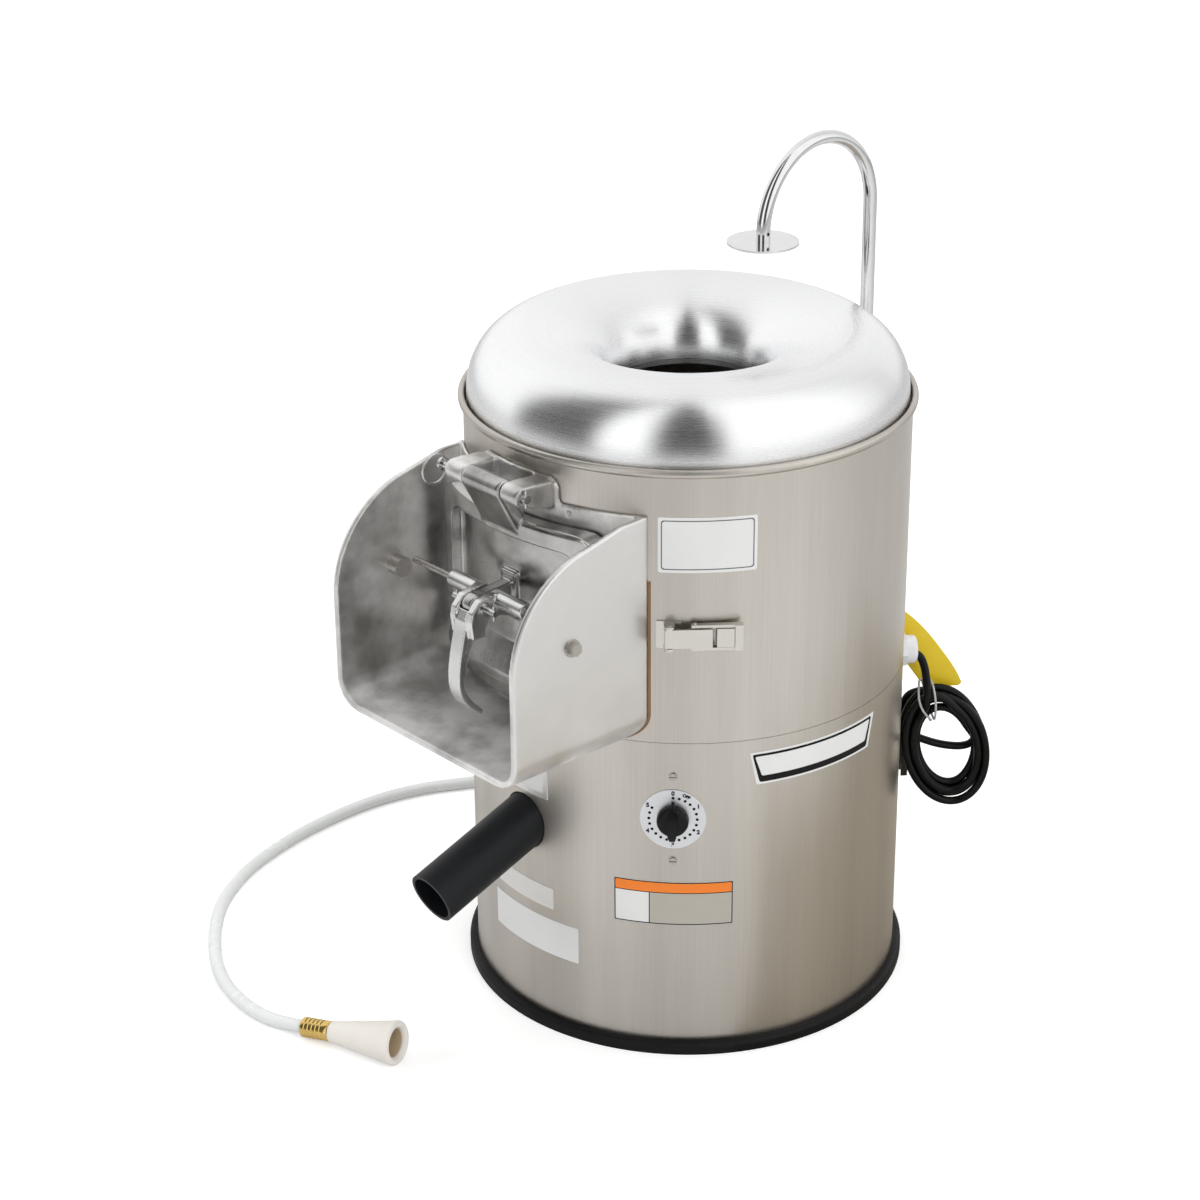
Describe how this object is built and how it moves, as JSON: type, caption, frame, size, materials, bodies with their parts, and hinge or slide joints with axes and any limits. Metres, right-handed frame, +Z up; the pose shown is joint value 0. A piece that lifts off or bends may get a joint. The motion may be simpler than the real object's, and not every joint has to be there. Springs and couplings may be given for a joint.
{
  "type": "electric potato peeler",
  "caption": "Round drum potato peeler with a spun hopper, hooked water tube, cast front chute with a latched door, timer knob and rubber drain outlet.",
  "frame": {"origin": "centre of the rubber base ring's underside, on the floor under the drum's axis", "axes": "+Z up along the drum, the discharge chute faces -Y, +X to the right of someone who looks at the chute"},
  "size_m": [0.6336, 0.7045, 0.788],
  "materials": {
    "stainless_body": "fine vertical brushing",
    "base_rubber": "satin black rubber",
    "outlet_rubber": "satin black rubber",
    "cast_bowl": "as-cast aluminium",
    "spigot_steel": "plain steel",
    "bearing_steel": "ground steel",
    "seal_rubber": "matte rubber",
    "fastener_steel": "plated steel",
    "belt_rubber": "matte rubber",
    "pulley_iron": "turned iron",
    "motor_paint": "grey enamel",
    "timer_case": "moulded phenolic",
    "timer_metal": "turned steel",
    "dial_face": "satin printed plate",
    "knob_plastic": "black moulded plastic",
    "cast_chute": "polished casting",
    "gasket_brown": "brown gasket",
    "hinge_steel": "polished steel",
    "cast_door": "polished casting",
    "handle_metal": "polished casting",
    "rod_steel": "drawn bar",
    "abrasive_disc": "grit-coated",
    "cap_metal": "satin",
    "funnel_aluminium": "spun, bright",
    "tube_steel": "polished stainless tube",
    "clip_steel": "bent strip",
    "brass_fitting": "crimped brass",
    "adapter_brass": "turned brass",
    "hose_vinyl": "translucent white vinyl",
    "connector_rubber": "white moulded rubber",
    "gland_nylon": "white nylon",
    "cord_rubber": "satin black rubber",
    "tie_wire": "plastic-coated wire",
    "tag_card": "yellow card",
    "plug_plastic": "moulded black plug",
    "latch_steel": "pressed stainless",
    "label_film": "bare printed film"
  },
  "bodies": {
    "root": {"base_ring": "base_rubber", "base_plate": "stainless_body", "lower_housing": "stainless_body", "joining_band": "stainless_body", "upper_body": "stainless_body", "waste_bowl": "cast_bowl", "drain_spigot": "spigot_steel", "drain_tube": "outlet_rubber", "drain_clamp": "spigot_steel", "chamber_liner": "stainless_body", "bearing_housing": "cast_bowl", "shaft_bearings": "bearing_steel", "shaft_seal": "seal_rubber", "housing_bolts": "fastener_steel", "drive_belt": "belt_rubber", "motor_housing": "motor_paint", "motor_plate": "motor_paint", "motor_posts": "fastener_steel", "motor_bolts": "fastener_steel", "timer_body": "timer_case", "timer_screws": "fastener_steel", "dial_plate": "dial_face", "chute_casting": "cast_chute", "chute_seal": "gasket_brown", "chute_screws": "fastener_steel", "stop_pins": "fastener_steel", "hinge_pin": "hinge_steel", "tube_clips": "clip_steel", "hose_adapter": "adapter_brass", "water_hose": "hose_vinyl", "hose_ferrule": "brass_fitting", "faucet_connector": "connector_rubber", "cord_gland": "gland_nylon", "power_cord": "cord_rubber", "cord_coil": "cord_rubber", "cord_tie": "tie_wire", "cord_tag": "tag_card", "power_plug": "plug_plastic", "latch_plates": "latch_steel", "label_plates": "label_film"},
    "drive_shaft_assembly": {"drive_shaft": "bearing_steel", "drive_pin": "bearing_steel", "driven_pulley": "pulley_iron"},
    "disc": {"peeling_disc": "abrasive_disc", "disc_cap": "cap_metal"},
    "motor_rotor_assembly": {"motor_pulley": "pulley_iron", "motor_shaft": "bearing_steel", "motor_rotor": "pulley_iron"},
    "hopper_funnel": {"funnel": "funnel_aluminium"},
    "spray_tube": {"water_tube": "tube_steel", "deflector_disc": "tube_steel"},
    "discharge_door": {"door": "cast_door", "door_seal": "seal_rubber", "pivot_pin": "hinge_steel"},
    "latch_handle": {"door_handle": "handle_metal", "latch_rods": "rod_steel"},
    "timer_control": {"timer_knob": "knob_plastic", "timer_shaft": "timer_metal"},
    "draw_latch_lever": {"latch_lever": "latch_steel"},
    "draw_latch_bail": {"latch_bail": "latch_steel"}
  },
  "joints": [
    {"name": "shaft_spin", "type": "hinge", "parent": "root", "child": "drive_shaft_assembly", "pos_m": [0, 0, 0.2], "axis": [0, 0, 1], "continuous": true},
    {"name": "motor_spin", "type": "hinge", "parent": "root", "child": "motor_rotor_assembly", "pos_m": [0, 0.118, 0.2], "axis": [0, 0, 1], "continuous": true},
    {"name": "disc_lift", "type": "slide", "parent": "drive_shaft_assembly", "child": "disc", "axis": [0, 0, 1], "range_m": [0, 0.06]},
    {"name": "funnel_lift", "type": "slide", "parent": "root", "child": "hopper_funnel", "axis": [0, 0, 1], "range_m": [0, 0.055]},
    {"name": "spray_tube_swivel", "type": "hinge", "parent": "root", "child": "spray_tube", "pos_m": [0.017, 0.2154, 0.45], "axis": [0, 0, 1], "range_deg": [-90, 90]},
    {"name": "door_swing", "type": "hinge", "parent": "root", "child": "discharge_door", "pos_m": [0, -0.2365, 0.548], "axis": [-1, 0, 0], "range_deg": [0, 85]},
    {"name": "handle_lift", "type": "hinge", "parent": "discharge_door", "child": "latch_handle", "pos_m": [0, -0.2537, 0.4386], "axis": [-1, 0, 0], "range_deg": [0, 95]},
    {"name": "timer_turn", "type": "hinge", "parent": "root", "child": "timer_control", "pos_m": [0.13896, -0.14798, 0.2427], "axis": [-0.6845, 0.729, 0], "range_deg": [0, 300]},
    {"name": "latch_lever_turn", "type": "hinge", "parent": "root", "child": "draw_latch_lever", "pos_m": [0.1422, -0.15608, 0.424], "axis": [0, 0, -1], "range_deg": [0, 110]},
    {"name": "latch_bail_turn", "type": "hinge", "parent": "draw_latch_lever", "child": "draw_latch_bail", "pos_m": [0.15503, -0.13815, 0.424], "axis": [0, 0, -1], "range_deg": [0, 60]}
  ],
  "couplings": [
    {"joint": "motor_spin", "follows": "shaft_spin", "ratio": 3.2}
  ]
}
